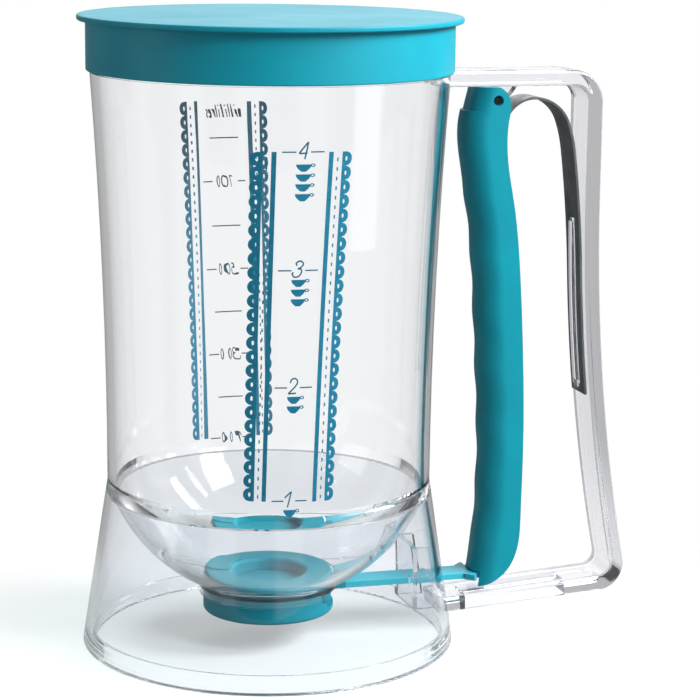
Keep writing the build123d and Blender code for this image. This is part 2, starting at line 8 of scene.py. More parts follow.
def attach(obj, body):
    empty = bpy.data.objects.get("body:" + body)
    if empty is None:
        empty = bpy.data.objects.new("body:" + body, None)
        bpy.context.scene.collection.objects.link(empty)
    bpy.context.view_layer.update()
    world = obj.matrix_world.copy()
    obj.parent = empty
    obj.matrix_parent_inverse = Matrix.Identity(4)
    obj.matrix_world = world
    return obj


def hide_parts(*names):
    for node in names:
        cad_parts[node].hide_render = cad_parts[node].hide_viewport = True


# A clear batter dispenser with teal mouldings. The CAD nodes keep their shapes and get their materials here, and
# the printed marks on the jug's wall are made here. Flat drawings and sizes on the wall are in mm. Everything
# else is in metres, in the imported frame.

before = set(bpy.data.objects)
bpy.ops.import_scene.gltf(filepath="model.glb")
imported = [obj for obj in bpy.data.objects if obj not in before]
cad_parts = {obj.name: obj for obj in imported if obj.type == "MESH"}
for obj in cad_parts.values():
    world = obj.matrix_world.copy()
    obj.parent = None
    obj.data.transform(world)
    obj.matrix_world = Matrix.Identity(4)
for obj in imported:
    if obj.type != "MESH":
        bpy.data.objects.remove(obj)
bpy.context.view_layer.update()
MM = 0.001
WHITE = (1, 1, 1, 1)


def linear(colour):
    """A hex sRGB colour as linear RGBA."""
    parts = [int(colour[i:i + 2], 16) / 255 for i in (1, 3, 5)]
    return [c / 12.92 if c <= 0.04045 else ((c + 0.055) / 1.055) ** 2.4 for c in parts] + [1.0]


def add(tree, kind, settings=None, inputs=None):
    """Adds a node. Inputs are values, or other nodes' outputs to link. Some nodes have sockets that share a name
    and are given by number: in a colour mix 0 is the share and 6 and 7 the colours, with the result in output 2,
    and in Map Range 0 is the value, 1 and 2 the range it comes from, and 3 and 4 the range it is taken to."""
    node = tree.nodes.new(kind)
    for key, value in (settings or {}).items():
        setattr(node, key, value)
    for key, value in (inputs or {}).items():
        if isinstance(value, bpy.types.NodeSocket):
            tree.links.new(value, node.inputs[key])
        else:
            node.inputs[key].default_value = value
    return node


def new_material(name):
    """An empty node material with its output, as (material, tree, output)."""
    material = bpy.data.materials.new(name)
    material.use_nodes = True
    tree = material.node_tree
    tree.nodes.clear()
    return material, tree, add(tree, "ShaderNodeOutputMaterial")


def new_object(name, data):
    """An object at the origin of the scene."""
    made = bpy.data.objects.new(name, data)
    bpy.context.scene.collection.objects.link(made)
    return made


def grain(tree, size_mm, detail=2.0, stretch=(1, 1, 1)):
    """Noise in the object's own space. Its features are about size_mm across, and longer where stretch is under 1."""
    where = add(tree, "ShaderNodeTexCoord").outputs["Object"]
    placed = add(tree, "ShaderNodeMapping", inputs={"Vector": where, "Scale": stretch}).outputs[0]
    noise = add(tree, "ShaderNodeTexNoise", inputs={
        "Vector": placed, "Scale": 1 / (size_mm * MM), "Detail": detail})
    return noise.outputs[0]


# ---- finishes ----
LOW, HIGH = 0.3, 0.7            # nearly all of a grain's values lie between these
SAN_IOR = 1.45                  # under the real 1.57, so that the near wall veils the marks on the far one less
PP_IOR, SILICONE_IOR, INK_IOR = 1.49, 1.41, 1.52
SHEEN_ROUGHNESS = 0.3
PP_DEPTH = (0.4 * MM, 1.2 * MM, 1.4 * MM)       # how far red, green and blue go into the teal


def clear_moulding(name, colour, wave_mm):
    """Styrene-acrylonitrile, injection moulded and polished: bright, hard and very clear, with the faint long
    waves that a moulded wall has. Each face takes a little of the light, so that many faces in line look greyer."""
    material, tree, out = new_material(name)
    wave = grain(tree, wave_mm, detail=1.0)
    bump = add(tree, "ShaderNodeBump", inputs={"Strength": 0.25, "Distance": 0.25 * MM, "Height": wave})
    cloud = grain(tree, size_mm=35.0)
    haze = add(tree, "ShaderNodeMapRange", inputs={0: cloud, 1: LOW, 2: HIGH, 3: 0.0, 4: 0.03})
    glass = add(tree, "ShaderNodeBsdfPrincipled", inputs={
        "Base Color": linear(colour), "Roughness": haze.outputs[0], "IOR": SAN_IOR, "Transmission Weight": 1.0,
        "Normal": bump.outputs[0]})
    # The lamps' light goes straight through, so that the walls don't darken what is inside them or the floor.
    path = add(tree, "ShaderNodeLightPath").outputs
    straight = add(tree, "ShaderNodeMath", {"operation": "MAXIMUM"}, {
        0: path["Is Shadow Ray"], 1: path["Is Diffuse Ray"]})
    through = add(tree, "ShaderNodeBsdfTransparent", inputs={"Color": linear("#F2F6F6")})
    mixed = add(tree, "ShaderNodeMixShader", inputs={
        0: straight.outputs[0], 1: glass.outputs[0], 2: through.outputs[0]})
    tree.links.new(mixed.outputs[0], out.inputs["Surface"])
    return material


def satin_moulding(name, colour, shade, rough, gloss, sheen, grain_mm):
    """Polypropylene, injection moulded in a spark-eroded mould: dense colour, a soft waxy sheen that turns pale
    where it is seen along the surface, and a fine even grain, drawn at the smallest size that shows."""
    material, tree, out = new_material(name)
    drift = grain(tree, size_mm=28.0)
    share = add(tree, "ShaderNodeMapRange", inputs={0: drift, 1: LOW, 2: HIGH})
    hue = add(tree, "ShaderNodeMix", {"data_type": "RGBA"}, {
        0: share.outputs[0], 6: linear(colour), 7: linear(shade)})
    polish = add(tree, "ShaderNodeMapRange", inputs={0: drift, 1: LOW, 2: HIGH, 3: rough - 0.03, 4: rough + 0.04})
    fine = grain(tree, grain_mm, detail=3.0)
    bump = add(tree, "ShaderNodeBump", inputs={"Strength": 0.35, "Distance": 0.04 * MM, "Height": fine})
    skin = add(tree, "ShaderNodeBsdfPrincipled", inputs={
        "Base Color": hue.outputs[2], "Roughness": polish.outputs[0], "IOR": PP_IOR, "Specular IOR Level": gloss,
        "Sheen Weight": sheen, "Sheen Roughness": SHEEN_ROUGHNESS, "Subsurface Weight": 0.06,
        "Subsurface Radius": PP_DEPTH, "Subsurface Scale": 1.0, "Normal": bump.outputs[0]})
    tree.links.new(skin.outputs[0], out.inputs["Surface"])
    return material


def worked_steel(name, colour, stain, rough, stretch):
    """Cold-rolled or drawn steel, oiled: grey metal with fine lines the way it was worked, and slight stains. The
    lines are drawn coarser than they are, so that they show."""
    material, tree, out = new_material(name)
    patches = grain(tree, size_mm=9.0, detail=4.0)
    share = add(tree, "ShaderNodeMapRange", inputs={0: patches, 1: LOW, 2: HIGH})
    hue = add(tree, "ShaderNodeMix", {"data_type": "RGBA"}, {
        0: share.outputs[0], 6: linear(colour), 7: linear(stain)})
    lines = grain(tree, size_mm=0.5, detail=3.0, stretch=stretch)
    polish = add(tree, "ShaderNodeMapRange", inputs={0: lines, 1: LOW, 2: HIGH, 3: rough - 0.05, 4: rough + 0.08})
    bump = add(tree, "ShaderNodeBump", inputs={"Strength": 0.4, "Distance": 0.02 * MM, "Height": lines})
    metal = add(tree, "ShaderNodeBsdfPrincipled", inputs={
        "Base Color": hue.outputs[2], "Metallic": 1.0, "Roughness": polish.outputs[0],
        "Normal": bump.outputs[0]})
    tree.links.new(metal.outputs[0], out.inputs["Surface"])
    return material


def soft_rubber(name, colour):
    """Silicone rubber, compression moulded: milky and matt."""
    material, tree, out = new_material(name)
    fine = grain(tree, size_mm=0.8)
    polish = add(tree, "ShaderNodeMapRange", inputs={0: fine, 1: LOW, 2: HIGH, 3: 0.45, 4: 0.6})
    bump = add(tree, "ShaderNodeBump", inputs={"Strength": 0.2, "Distance": 0.03 * MM, "Height": fine})
    rubber = add(tree, "ShaderNodeBsdfPrincipled", inputs={
        "Base Color": linear(colour), "Roughness": polish.outputs[0], "IOR": SILICONE_IOR,
        "Transmission Weight": 0.3, "Normal": bump.outputs[0]})
    tree.links.new(rubber.outputs[0], out.inputs["Surface"])
    return material


def screen_ink(name, colour, thin):
    """Screen-printed epoxy ink: an even opaque film with a slight gloss, a little thinner in places."""
    material, tree, out = new_material(name)
    cover = grain(tree, size_mm=1.6, detail=3.0)
    share = add(tree, "ShaderNodeMapRange", inputs={0: cover, 1: 0.45, 2: 0.75})
    hue = add(tree, "ShaderNodeMix", {"data_type": "RGBA"}, {
        0: share.outputs[0], 6: linear(colour), 7: linear(thin)})
    polish = add(tree, "ShaderNodeMapRange", inputs={0: cover, 1: LOW, 2: HIGH, 3: 0.35, 4: 0.5})
    film_ink = add(tree, "ShaderNodeBsdfPrincipled", inputs={
        "Base Color": hue.outputs[2], "Roughness": polish.outputs[0], "IOR": INK_IOR})
    tree.links.new(film_ink.outputs[0], out.inputs["Surface"])
    return material


clear_wall = clear_moulding("moulded_san_jug", "#FCFDFE", wave_mm=45.0)
# The skirt and the handle are the jug's clear plastic painted greyer: painted shade for the bluish-grey shade inside
# the skirt and the grey of the handle's thick edges.
clear_skirt_painted_shade = clear_moulding("moulded_san_skirt_painted_shade", "#F3F5F8", wave_mm=45.0)
clear_handle_painted_shade = clear_moulding("moulded_san_handle_painted_shade", "#F0F0F4", wave_mm=30.0)
teal_lid = satin_moulding("moulded_pp_teal_lid", "#0098AC", "#008EA2", 0.46, gloss=0.35, sheen=0.04, grain_mm=0.6)
teal_grip = satin_moulding("moulded_pp_teal_grip", "#0094A6", "#008A9C", 0.42, gloss=0.3, sheen=0.05, grain_mm=0.5)
teal_valve = satin_moulding("moulded_pp_teal_valve", "#0096A8", "#008C9E", 0.48, gloss=0.15, sheen=0.0, grain_mm=0.5)
# The draw bar's paler teal is painted sheen: it is the valve parts' teal, lightened to stand in for the light on the
# bar's top.
teal_bar_painted_sheen = satin_moulding("moulded_pp_teal_bar_painted_sheen", "#3CC0D4", "#34B8CC", 0.4, gloss=0.4, sheen=0.1, grain_mm=0.5)
spring_metal = worked_steel("rolled_spring_steel", "#828486", "#646668", 0.44, stretch=(1, 1, 0.05))
pin_metal = worked_steel("drawn_pin_steel", "#4A4C4E", "#333537", 0.3, stretch=(1, 0.1, 1))
seal_rubber = soft_rubber("moulded_silicone", "#DDE4E5")
print_ink = screen_ink("screen_ink_teal", "#00708E", "#0A7C98")
# The back lace's ink is the front print's ink painted lighter: painted light that makes up for what the jug's walls
# take before light reaches the back print.
back_ink_painted_light = screen_ink("screen_ink_teal_back_painted_light", "#0086A8", "#0A8EAE")
fine_ink = screen_ink("screen_ink_fine", "#1F6078", "#2A6B83")
# The back scale's ink is the front numbers' ink painted darker: painted shade that offsets the pale veil the clear
# walls reflect over it.
back_fine_ink_painted_shade = screen_ink("screen_ink_fine_back_painted_shade", "#033E50", "#0A485A")

FINISHES = {
    "lid": teal_lid, "jug": clear_wall, "base_skirt": clear_skirt_painted_shade, "handle_frame": clear_handle_painted_shade,
    "trigger": teal_grip, "pivot_pin": pin_metal, "leaf_spring": spring_metal, "gate_plate": teal_valve,
    "draw_bar": teal_bar_painted_sheen, "valve_seat": teal_valve, "seat_gasket": seal_rubber, "gate_seal": seal_rubber,
    "valve_housing": teal_valve,
}
for node, finish in FINISHES.items():
    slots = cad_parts[node].data.materials
    slots.clear()
    slots.append(finish)

# ---- the jug's wall, which the print lies on, and the joints between the clear mouldings, in mm ----
WAIST, BELLY, SHOULDER = (56.0, 54.0), (123.8, 55.1), (191.6, 58.7)    # height and outside radius
JOINT_Z = 52.0        # the top of the skirt
FOOT_R = 62.7         # the skirt's outside radius at its foot
BOND = 0.05           # the set-back of a bonded face
MARGIN = 0.01         # a point of the skirt is at its top if it is this near to it
TOUCH = 0.08          # a point of the handle is on the joint if it is this near to the outside of the jug or skirt


def wall_r(z):
    """Outside radius of the jug at a height: the curve through three heights."""
    (z0, r0), (z1, r1), (z2, r2) = WAIST, BELLY, SHOULDER
    return (r0 * (z - z1) * (z - z2) / ((z0 - z1) * (z0 - z2))
            + r1 * (z - z0) * (z - z2) / ((z1 - z0) * (z1 - z2))
            + r2 * (z - z0) * (z - z1) / ((z2 - z0) * (z2 - z1)))


def foot_r(z):
    """Outside radius of the skirt at a height."""
    return FOOT_R + (WAIST[1] - FOOT_R) * z / WAIST[0]


def on_wall(azimuth, z, lift):
    """A point on the jug's wall, from degrees and mm, in metres."""
    r = (wall_r(z) + lift) * MM
    return Vector((r * cos(radians(azimuth)), r * sin(radians(azimuth)), z * MM))


def bonded(node, touches, push):
    """A moulding that shows its bonded joint: the node's shape, with the faces that touch set back by the bond."""
    piece = new_object(node + "_bonded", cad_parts[node].data.copy())
    for vertex in piece.data.vertices:
        if touches(vertex.co / MM):
            vertex.co += push(vertex.co)
    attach(piece, "body")
    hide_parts(node)


def at_joint(p):
    """Whether a point of the skirt is on its top, where the jug is bonded to it."""
    return p.z > JOINT_Z - MARGIN


def on_outside(p):
    """Whether a point of the handle lies on the outside of the jug or the skirt."""
    outside = wall_r(p.z) if p.z > WAIST[0] else foot_r(p.z)
    return abs(Vector((p.x, p.y)).length - outside) < TOUCH


bonded("base_skirt", at_joint, lambda p: Vector((0, 0, -BOND * MM)))
bonded("handle_frame", on_outside, lambda p: Vector((p.x, p.y, 0)).normalized() * BOND * MM)

# ---- printed films ----
# A drawing is flat and in mm: a list of faces, each a list of (u, v), with u round the wall and v up it.
PRINT_GAP = 0.06      # the film's inner face off the wall
PRINT_FILM = 0.05     # drawn thicker than ink is, so that it is a solid
MERGE = 0.004         # corners nearer than this are one


def flat_mesh(faces):
    """A drawing as a flat mesh at z = 0."""
    mesh = bmesh.new()
    for face in faces:
        mesh.faces.new([mesh.verts.new((u, v, 0)) for u, v in face])
    return mesh


def rectangle(u0, v0, u1, v1):
    return [(u0, v0), (u1, v0), (u1, v1), (u0, v1)]


def film(name, flat, place, finish):
    """A printed film from a flat mesh, laid on the wall. place(u, v) gives a point's azimuth and height."""
    bmesh.ops.remove_doubles(flat, verts=flat.verts, dist=MERGE)
    mesh = bmesh.new()
    inner, outer = [
        {v: mesh.verts.new(on_wall(*place(v.co.x, v.co.y), lift)) for v in flat.verts}
        for lift in (PRINT_GAP, PRINT_GAP + PRINT_FILM)]
    for face in flat.faces:
        mesh.faces.new([outer[v] for v in face.verts])
        mesh.faces.new([inner[v] for v in reversed(face.verts)])
    for edge in flat.edges:
        if len(edge.link_faces) == 1:
            a, b = edge.verts
            mesh.faces.new((inner[a], inner[b], outer[b], outer[a]))
    bmesh.ops.recalc_face_normals(mesh, faces=mesh.faces)
    data = bpy.data.meshes.new(name)
    mesh.to_mesh(data)
    mesh.free()
    flat.free()
    data.materials.append(finish)
    return new_object(name, data)


# ---- lace strips, in mm ----
LOBE_STEPS = 8
LOBE_HALF = 0.49      # of the pitch: half a lobe's width, which leaves a notch between two lobes
HOLE_U = 0.105        # of the lace's depth: half the width of the hole in a lobe
HOLE_V = 0.165        # of the pitch: half its height
BAND_SHARE = 0.42     # of the lace's depth, behind the notches between its lobes
STITCH_PITCH = 2.97
STITCH_WIDTH, STITCH_HEIGHT = 0.44, 1.15


def lobe_faces(pitch, depth, band, stripe):
    """One repeat of the strip, drawn about v = 0: a half-round lobe towards -u from the line u = 0, the band
    behind it, an upright hole on that line, and a length of the plain stripe."""
    turns = [pi * k / LOBE_STEPS - pi / 2 for k in range(LOBE_STEPS + 1)]
    faces = []
    for way in (-1, 1):
        hole = [(way * HOLE_U * (depth + band) * cos(a), HOLE_V * pitch * sin(a)) for a in turns]
        if way < 0:
            edge = [(-depth * cos(a), LOBE_HALF * pitch * sin(a)) for a in turns]
        else:
            edge = [(band, pitch * (k / LOBE_STEPS - 0.5)) for k in range(LOBE_STEPS + 1)]
            faces += [[(0, -pitch / 2), edge[0], hole[0]], [(0, pitch / 2), hole[-1], edge[-1]]]
        faces += [[edge[k], edge[k + 1], hole[k + 1], hole[k]] for k in range(LOBE_STEPS)]
    near, far = stripe
    return faces + [rectangle(near, -pitch / 2, far, pitch / 2)]


def stitch_faces():
    """One stitch of the stitched line."""
    u, v = STITCH_WIDTH / 2, STITCH_HEIGHT / 2
    return [rectangle(-u, -v, u, v)]


def lace_nodes():
    """The tree that repeats a lobe up the strip, and a stitch up a line beside it."""
    tree = bpy.data.node_groups.new("lace_strip", "GeometryNodeTree")
    for name, kind in (("Lobe", "Object"), ("Lobes", "Int"), ("Pitch", "Float"), ("Stitch", "Object"),
                       ("Stitches", "Int"), ("Stitch pitch", "Float"), ("Stitch line", "Float"),
                       ("Ink", "Material")):
        tree.interface.new_socket(name=name, in_out="INPUT", socket_type="NodeSocket" + kind)
    tree.interface.new_socket(name="Strip", in_out="OUTPUT", socket_type="NodeSocketGeometry")
    given = add(tree, "NodeGroupInput").outputs
    joined = add(tree, "GeometryNodeJoinGeometry")
    rows = (("Lobe", "Lobes", "Pitch", None), ("Stitch", "Stitches", "Stitch pitch", "Stitch line"))
    for shape, count, pitch, line in rows:
        half = add(tree, "ShaderNodeMath", {"operation": "MULTIPLY"}, {0: given[pitch], 1: 0.5})
        start = add(tree, "ShaderNodeCombineXYZ", inputs={"Y": half.outputs[0]})
        if line:
            tree.links.new(given[line], start.inputs["X"])
        step = add(tree, "ShaderNodeCombineXYZ", inputs={"Y": given[pitch]})
        row = add(tree, "GeometryNodeMeshLine", inputs={
            "Count": given[count], "Start Location": start.outputs[0], "Offset": step.outputs[0]})
        one = add(tree, "GeometryNodeObjectInfo", inputs={"Object": given[shape]})
        many = add(tree, "GeometryNodeInstanceOnPoints", inputs={
            "Points": row.outputs[0], "Instance": one.outputs["Geometry"]})
        tree.links.new(many.outputs[0], joined.inputs[0])
    real = add(tree, "GeometryNodeRealizeInstances", inputs={0: joined.outputs[0]})
    inked = add(tree, "GeometryNodeSetMaterial", inputs={
        "Geometry": real.outputs[0], "Material": given["Ink"]})
    add(tree, "NodeGroupOutput", inputs={0: inked.outputs[0]})
    return tree


LACE_NODES = lace_nodes()


def pattern(name, faces):
    """A drawing for the tree to repeat, which is not part of the object."""
    mesh = flat_mesh(faces)
    data = bpy.data.meshes.new(name)
    mesh.to_mesh(data)
    mesh.free()
    return bpy.data.objects.new(name, data)


def repeated(values):
    """The strip that the tree makes with these inputs, as a flat mesh."""
    holder = new_object("strip", bpy.data.meshes.new("strip"))
    modifier = holder.modifiers.new("lace", "NODES")
    modifier.node_group = LACE_NODES
    for item in LACE_NODES.interface.items_tree:
        if item.in_out == "INPUT":
            modifier[item.identifier] = values[item.name]
    ready = holder.evaluated_get(bpy.context.evaluated_depsgraph_get())
    flat = bmesh.new()
    flat.from_mesh(bpy.data.meshes.new_from_object(ready))
    holder.modifiers.remove(modifier)
    for used in (holder, values["Lobe"], values["Stitch"]):
        bpy.data.objects.remove(used)
    return flat


def lace(name, low_z, high_z, lobes, outer, band, dash_line, stripe, ink):
    """A lace strip on the wall. Each of outer, band, dash_line and the stripe's two edges is a pair of azimuths,
    at the strip's foot and at its head."""
    height = high_z - low_z
    pitch = height / lobes
    side = 1 if band[0] > outer[0] else -1
    r = wall_r((low_z + high_z) / 2)
    edge, inside, stitched, near, far = [
        radians(sum(pair) / 2) * r * side for pair in (outer, band, dash_line, stripe[0], stripe[1])]
    band_width = BAND_SHARE * (inside - edge)
    start = inside - band_width
    one = lobe_faces(pitch, start - edge, band_width, (near - start, far - start))
    flat = repeated({
        "Lobe": pattern("lobe", one), "Lobes": lobes, "Pitch": pitch,
        "Stitch": pattern("stitch", stitch_faces()), "Stitches": int(height / STITCH_PITCH),
        "Stitch pitch": STITCH_PITCH, "Stitch line": stitched - start, "Ink": ink})

    def place(u, v):
        share = v / height
        low = outer[0] + (outer[1] - outer[0]) * share
        high = stripe[1][0] + (stripe[1][1] - stripe[1][0]) * share
        across = (u + start - edge) / (far - edge)
        return low + (high - low) * across, low_z + v

    return film(name, flat, place, ink)


pieces = [
    lace("print_front_lace_left", 61.5, 172.1, 25, (-112.9, -110.6), (-109.2, -106.6), (-107.9, -105.3),
         ((-106.6, -103.9), (-105.2, -102.3)), print_ink),
    lace("print_front_lace_right", 61.1, 171.9, 25, (-82.2, -78.3), (-85.4, -81.5), (-86.8, -83.0),
         ((-88.3, -84.4), (-89.6, -86.0)), print_ink),
    lace("print_back_lace_left", 57.3, 177.0, 25, (106.9, 110.1), (104.1, 107.0), (102.9, 105.7),
         ((101.4, 104.3), (100.3, 102.8)), back_ink_painted_light),
    lace("print_back_lace_right", 57.6, 176.6, 25, (74.2, 77.0), (77.0, 79.8), (78.4, 81.2),
         ((79.7, 82.3), (80.7, 84.2)), back_ink_painted_light),
]

# ---- numbers, dashes and cups, in mm ----
# A glyph is a list of strokes in a cell one wide and one high, drawn as a pen would.
GLYPHS = {
    "0": [[(0.5, 1), (0.26, 0.8), (0.18, 0.5), (0.26, 0.2), (0.5, 0)],
          [(0.5, 0), (0.74, 0.2), (0.82, 0.5), (0.74, 0.8), (0.5, 1)]],
    "1": [[(0.0, 0.62), (0.55, 1.0)], [(0.62, 1.05), (0.42, 0.0)]],
    "2": [[(0.15, 0.72), (0.25, 0.95), (0.6, 1.0), (0.85, 0.8), (0.7, 0.5), (0.1, 0.02)],
          [(0.1, 0.02), (0.85, 0.05)]],
    "3": [[(0.35, 0.72), (0.25, 0.9), (0.6, 1.02), (0.9, 0.85), (0.75, 0.62), (0.45, 0.52)],
          [(0.45, 0.52), (0.75, 0.5), (0.85, 0.3), (0.65, 0.05), (0.25, 0.0), (0.02, 0.2), (0.12, 0.3)]],
    "4": [[(0.8, 1.04), (0.5, 0.72), (0.16, 0.32)], [(0.16, 0.32), (0.88, 0.34)],
          [(0.8, 1.04), (0.78, 0.5), (0.72, -0.04)]],
    "5": [[(0.85, 1.0), (0.35, 0.97)], [(0.35, 0.97), (0.25, 0.58)],
          [(0.25, 0.58), (0.6, 0.64), (0.8, 0.42), (0.65, 0.1), (0.3, 0.0), (0.08, 0.15)]],
    "7": [[(0.08, 0.92), (0.9, 0.98)], [(0.9, 0.98), (0.55, 0.5), (0.4, 0.0)]],
    "m": [[(0.05, 0.6), (0.08, 0.0)], [(0.06, 0.45), (0.25, 0.6), (0.4, 0.5), (0.42, 0.0)],
          [(0.42, 0.45), (0.6, 0.6), (0.8, 0.5), (0.85, 0.0)]],
    "i": [[(0.5, 0.6), (0.5, 0.0)], [(0.52, 0.85), (0.54, 0.93)]],
    "l": [[(0.5, 1.0), (0.45, 0.5), (0.5, 0.0)]],
    "t": [[(0.5, 0.95), (0.45, 0.3), (0.6, 0.0)], [(0.2, 0.62), (0.85, 0.66)]],
    "e": [[(0.2, 0.32), (0.75, 0.4), (0.65, 0.6), (0.3, 0.55), (0.15, 0.25), (0.4, 0.0), (0.8, 0.12)]],
    "r": [[(0.2, 0.6), (0.25, 0.0)], [(0.23, 0.4), (0.5, 0.6), (0.8, 0.55)]],
    "s": [[(0.75, 0.55), (0.4, 0.6), (0.25, 0.45), (0.6, 0.3), (0.65, 0.08), (0.2, 0.02)]],
}
GLYPH_MARGIN = 0.07   # of a cell, at each side of a glyph
CURVE_STEPS = 5


def smooth(points):
    """A Catmull-Rom curve through the points."""
    ends = [points[0], *points, points[-1]]
    line = []
    for a, b, c, d in zip(ends, ends[1:], ends[2:], ends[3:]):
        for k in range(CURVE_STEPS):
            t = k / CURVE_STEPS
            line.append(tuple(
                0.5 * (2 * q + (r - p) * t + (2 * p - 5 * q + 4 * r - s) * t * t
                       + (3 * q - p - 3 * r + s) * t ** 3) for p, q, r, s in zip(a, b, c, d)))
    return line + [points[-1]]


def stroke(points, width):
    """A pen stroke as flat faces."""
    line = [Vector(p) for p in (smooth(points) if len(points) > 2 else points)]
    sides = []
    for i, p in enumerate(line):
        way = (line[min(i + 1, len(line) - 1)] - line[max(i - 1, 0)]).normalized()
        off = Vector((-way.y, way.x)) * width / 2
        sides.append((tuple(p + off), tuple(p - off)))
    return [[a[0], a[1], b[1], b[0]] for a, b in zip(sides, sides[1:])]


def writing(text, width, height, pen, slant):
    """Text drawn by strokes, centred on u = 0 with its foot at v = 0."""
    cell = width / len(text)
    faces = []
    for n, letter in enumerate(text):
        for points in GLYPHS[letter]:
            placed = [((n + GLYPH_MARGIN + (1 - 2 * GLYPH_MARGIN) * x) * cell - width / 2
                       + slant * (y - 0.5) * height, y * height) for x, y in points]
            faces += stroke(placed, pen)
    return faces


CUP_OUTLINE = [(2.4, 0.0), (2.35, -0.55), (1.95, -1.2), (1.3, -1.8), (0.7, -2.25)]    # half width and height
RING_U, RING_V = 2.9, -0.3      # the middle of the ring that is its handle
RING_OUTSIDE, RING_INSIDE = 0.8, 0.36
RING_FLATNESS = 0.72
RING_STEPS = 12


def cup():
    """A small cup: its bowl, and a flat ring for its handle."""
    faces = [[(-a, v), (-b, w), (b, w), (a, v)] for (a, v), (b, w) in zip(CUP_OUTLINE, CUP_OUTLINE[1:])]
    turns = [2 * pi * k / RING_STEPS for k in range(RING_STEPS + 1)]
    for a, b in zip(turns, turns[1:]):
        corners = ((RING_OUTSIDE, a), (RING_OUTSIDE, b), (RING_INSIDE, b), (RING_INSIDE, a))
        faces.append([(RING_U + r * cos(t), RING_V + RING_FLATNESS * r * sin(t)) for r, t in corners])
    return faces


def moved(faces, u, v):
    return [[(x + u, y + v) for x, y in face] for face in faces]


def dash(u0, u1, pen, z):
    """A level dash at a height."""
    return [rectangle(u0, z - pen / 2, u1, z + pen / 2)]


def leaning(low, high, narrowing=0.0):
    """Places a flat drawing beside a line that leans. low and high are (height, azimuth) of its ends, u is mm from
    the line and v is the height. The drawing narrows by a share for each mm below the line's upper end."""
    def place(u, v):
        azimuth = low[1] + (high[1] - low[1]) * (v - low[0]) / (high[0] - low[0])
        wide = 1 - narrowing * (high[0] - v)
        return azimuth + degrees(u * wide / wall_r(v)), v
    return place


FRONT_LINE = leaning((61.6, -97.4), (172.0, -94.1), narrowing=0.0015)
BACK_LINE = leaning((57.3, 90.7), (177.0, 93.4))
CUP_MARKS = {4: (172.0, 168.2), 3: (135.2, 132.3), 2: (98.1, 95.2), 1: (61.6, 58.7)}    # mark and first cup's top
CUP_PITCH = 3.05
CUP_U = 0.3           # the cups stand a little to the side of their number
FRONT_PEN = 0.42

marks, cups = [], []
for count, (z, first_cup) in CUP_MARKS.items():
    marks += dash(-6.6, -2.2, FRONT_PEN, z) + dash(2.3, 6.6, FRONT_PEN, z)
    marks += moved(writing(str(count), width=4.2, height=4.9, pen=0.5, slant=0.12), 0, z - 2.0)
    for n in range(count):
        cups += moved(cup(), CUP_U, first_cup - CUP_PITCH * n)
pieces += [film("print_front_numbers", flat_mesh(marks), FRONT_LINE, fine_ink),
           film("print_front_cups", flat_mesh(cups), FRONT_LINE, print_ink)]

MILLILITRE_MARKS = {"700": 148.9, "500": 118.0, "300": 87.6, "100": 57.2}
PLAIN_MARKS = (164.1, 133.3, 102.8, 72.1)
UNIT_Z = 171.2
BACK_PEN = 0.4

marks = []
for text, z in MILLILITRE_MARKS.items():
    marks += dash(-7.9, -4.3, BACK_PEN, z) + dash(4.3, 8.1, BACK_PEN, z)
    marks += moved(writing(text, width=7.6, height=4.0, pen=0.44, slant=0.1), 0, z - 2.0)
for z in PLAIN_MARKS:
    marks += dash(-4.9, 4.9, BACK_PEN, z)
marks += moved(writing("millilitres", width=13.2, height=4.6, pen=0.45, slant=0.2), 0, UNIT_Z)
pieces.append(film("print_back_scale", flat_mesh(marks), BACK_LINE, back_fine_ink_painted_shade))

for piece in pieces:
    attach(piece, "body")

# ---- floor, room and lamps ----
FLOOR_REACH = 6.0
FLOOR_DROP = 0.0002             # under the foot, so that the two don't share a face
FADE_FROM, FADE_TO = 0.05, 0.2  # distances from the jug's axis between which the floor turns to plain white
NEAR_WHITE = 0.45               # how much of it is plain white inside that
MIRRORED_FLOOR = 0.2            # how bright the floor is in a reflection
INNER_REFLECTION = 0.55         # how much of the room's light the reflections inside the clear walls keep
# Black cards stand round the room in the gaps between the usual viewpoints, to draw the clear plastic's edges.
CARDS = [(112.5, 10), (157.5, 13), (202.5, 12), (247.5, 12), (292.5, 12), (337.5, 13), (22.5, 12), (56, 5)]
CARD_EDGE = 3                   # degrees, by which each edge is soft to both sides
CARD_SHADE = 0.18
CEILING_FROM, CEILING_TO = 0.45, 0.8    # the sines of the heights between which the room darkens
CEILING_SHADE = 0.45
AMBIENT = 0.22                  # the room's own light on the object and the floor


def inner_dimming(tree, path):
    """1 for light that comes straight or through the clear walls, and less for what was also reflected in them."""
    least = add(tree, "ShaderNodeMath", {"operation": "MINIMUM"}, {
        0: path["Glossy Depth"], 1: path["Transmission Depth"]})
    return add(tree, "ShaderNodeMapRange", inputs={
        0: least.outputs[0], 1: 0.0, 2: 1.0, 3: 1.0, 4: INNER_REFLECTION}).outputs[0]


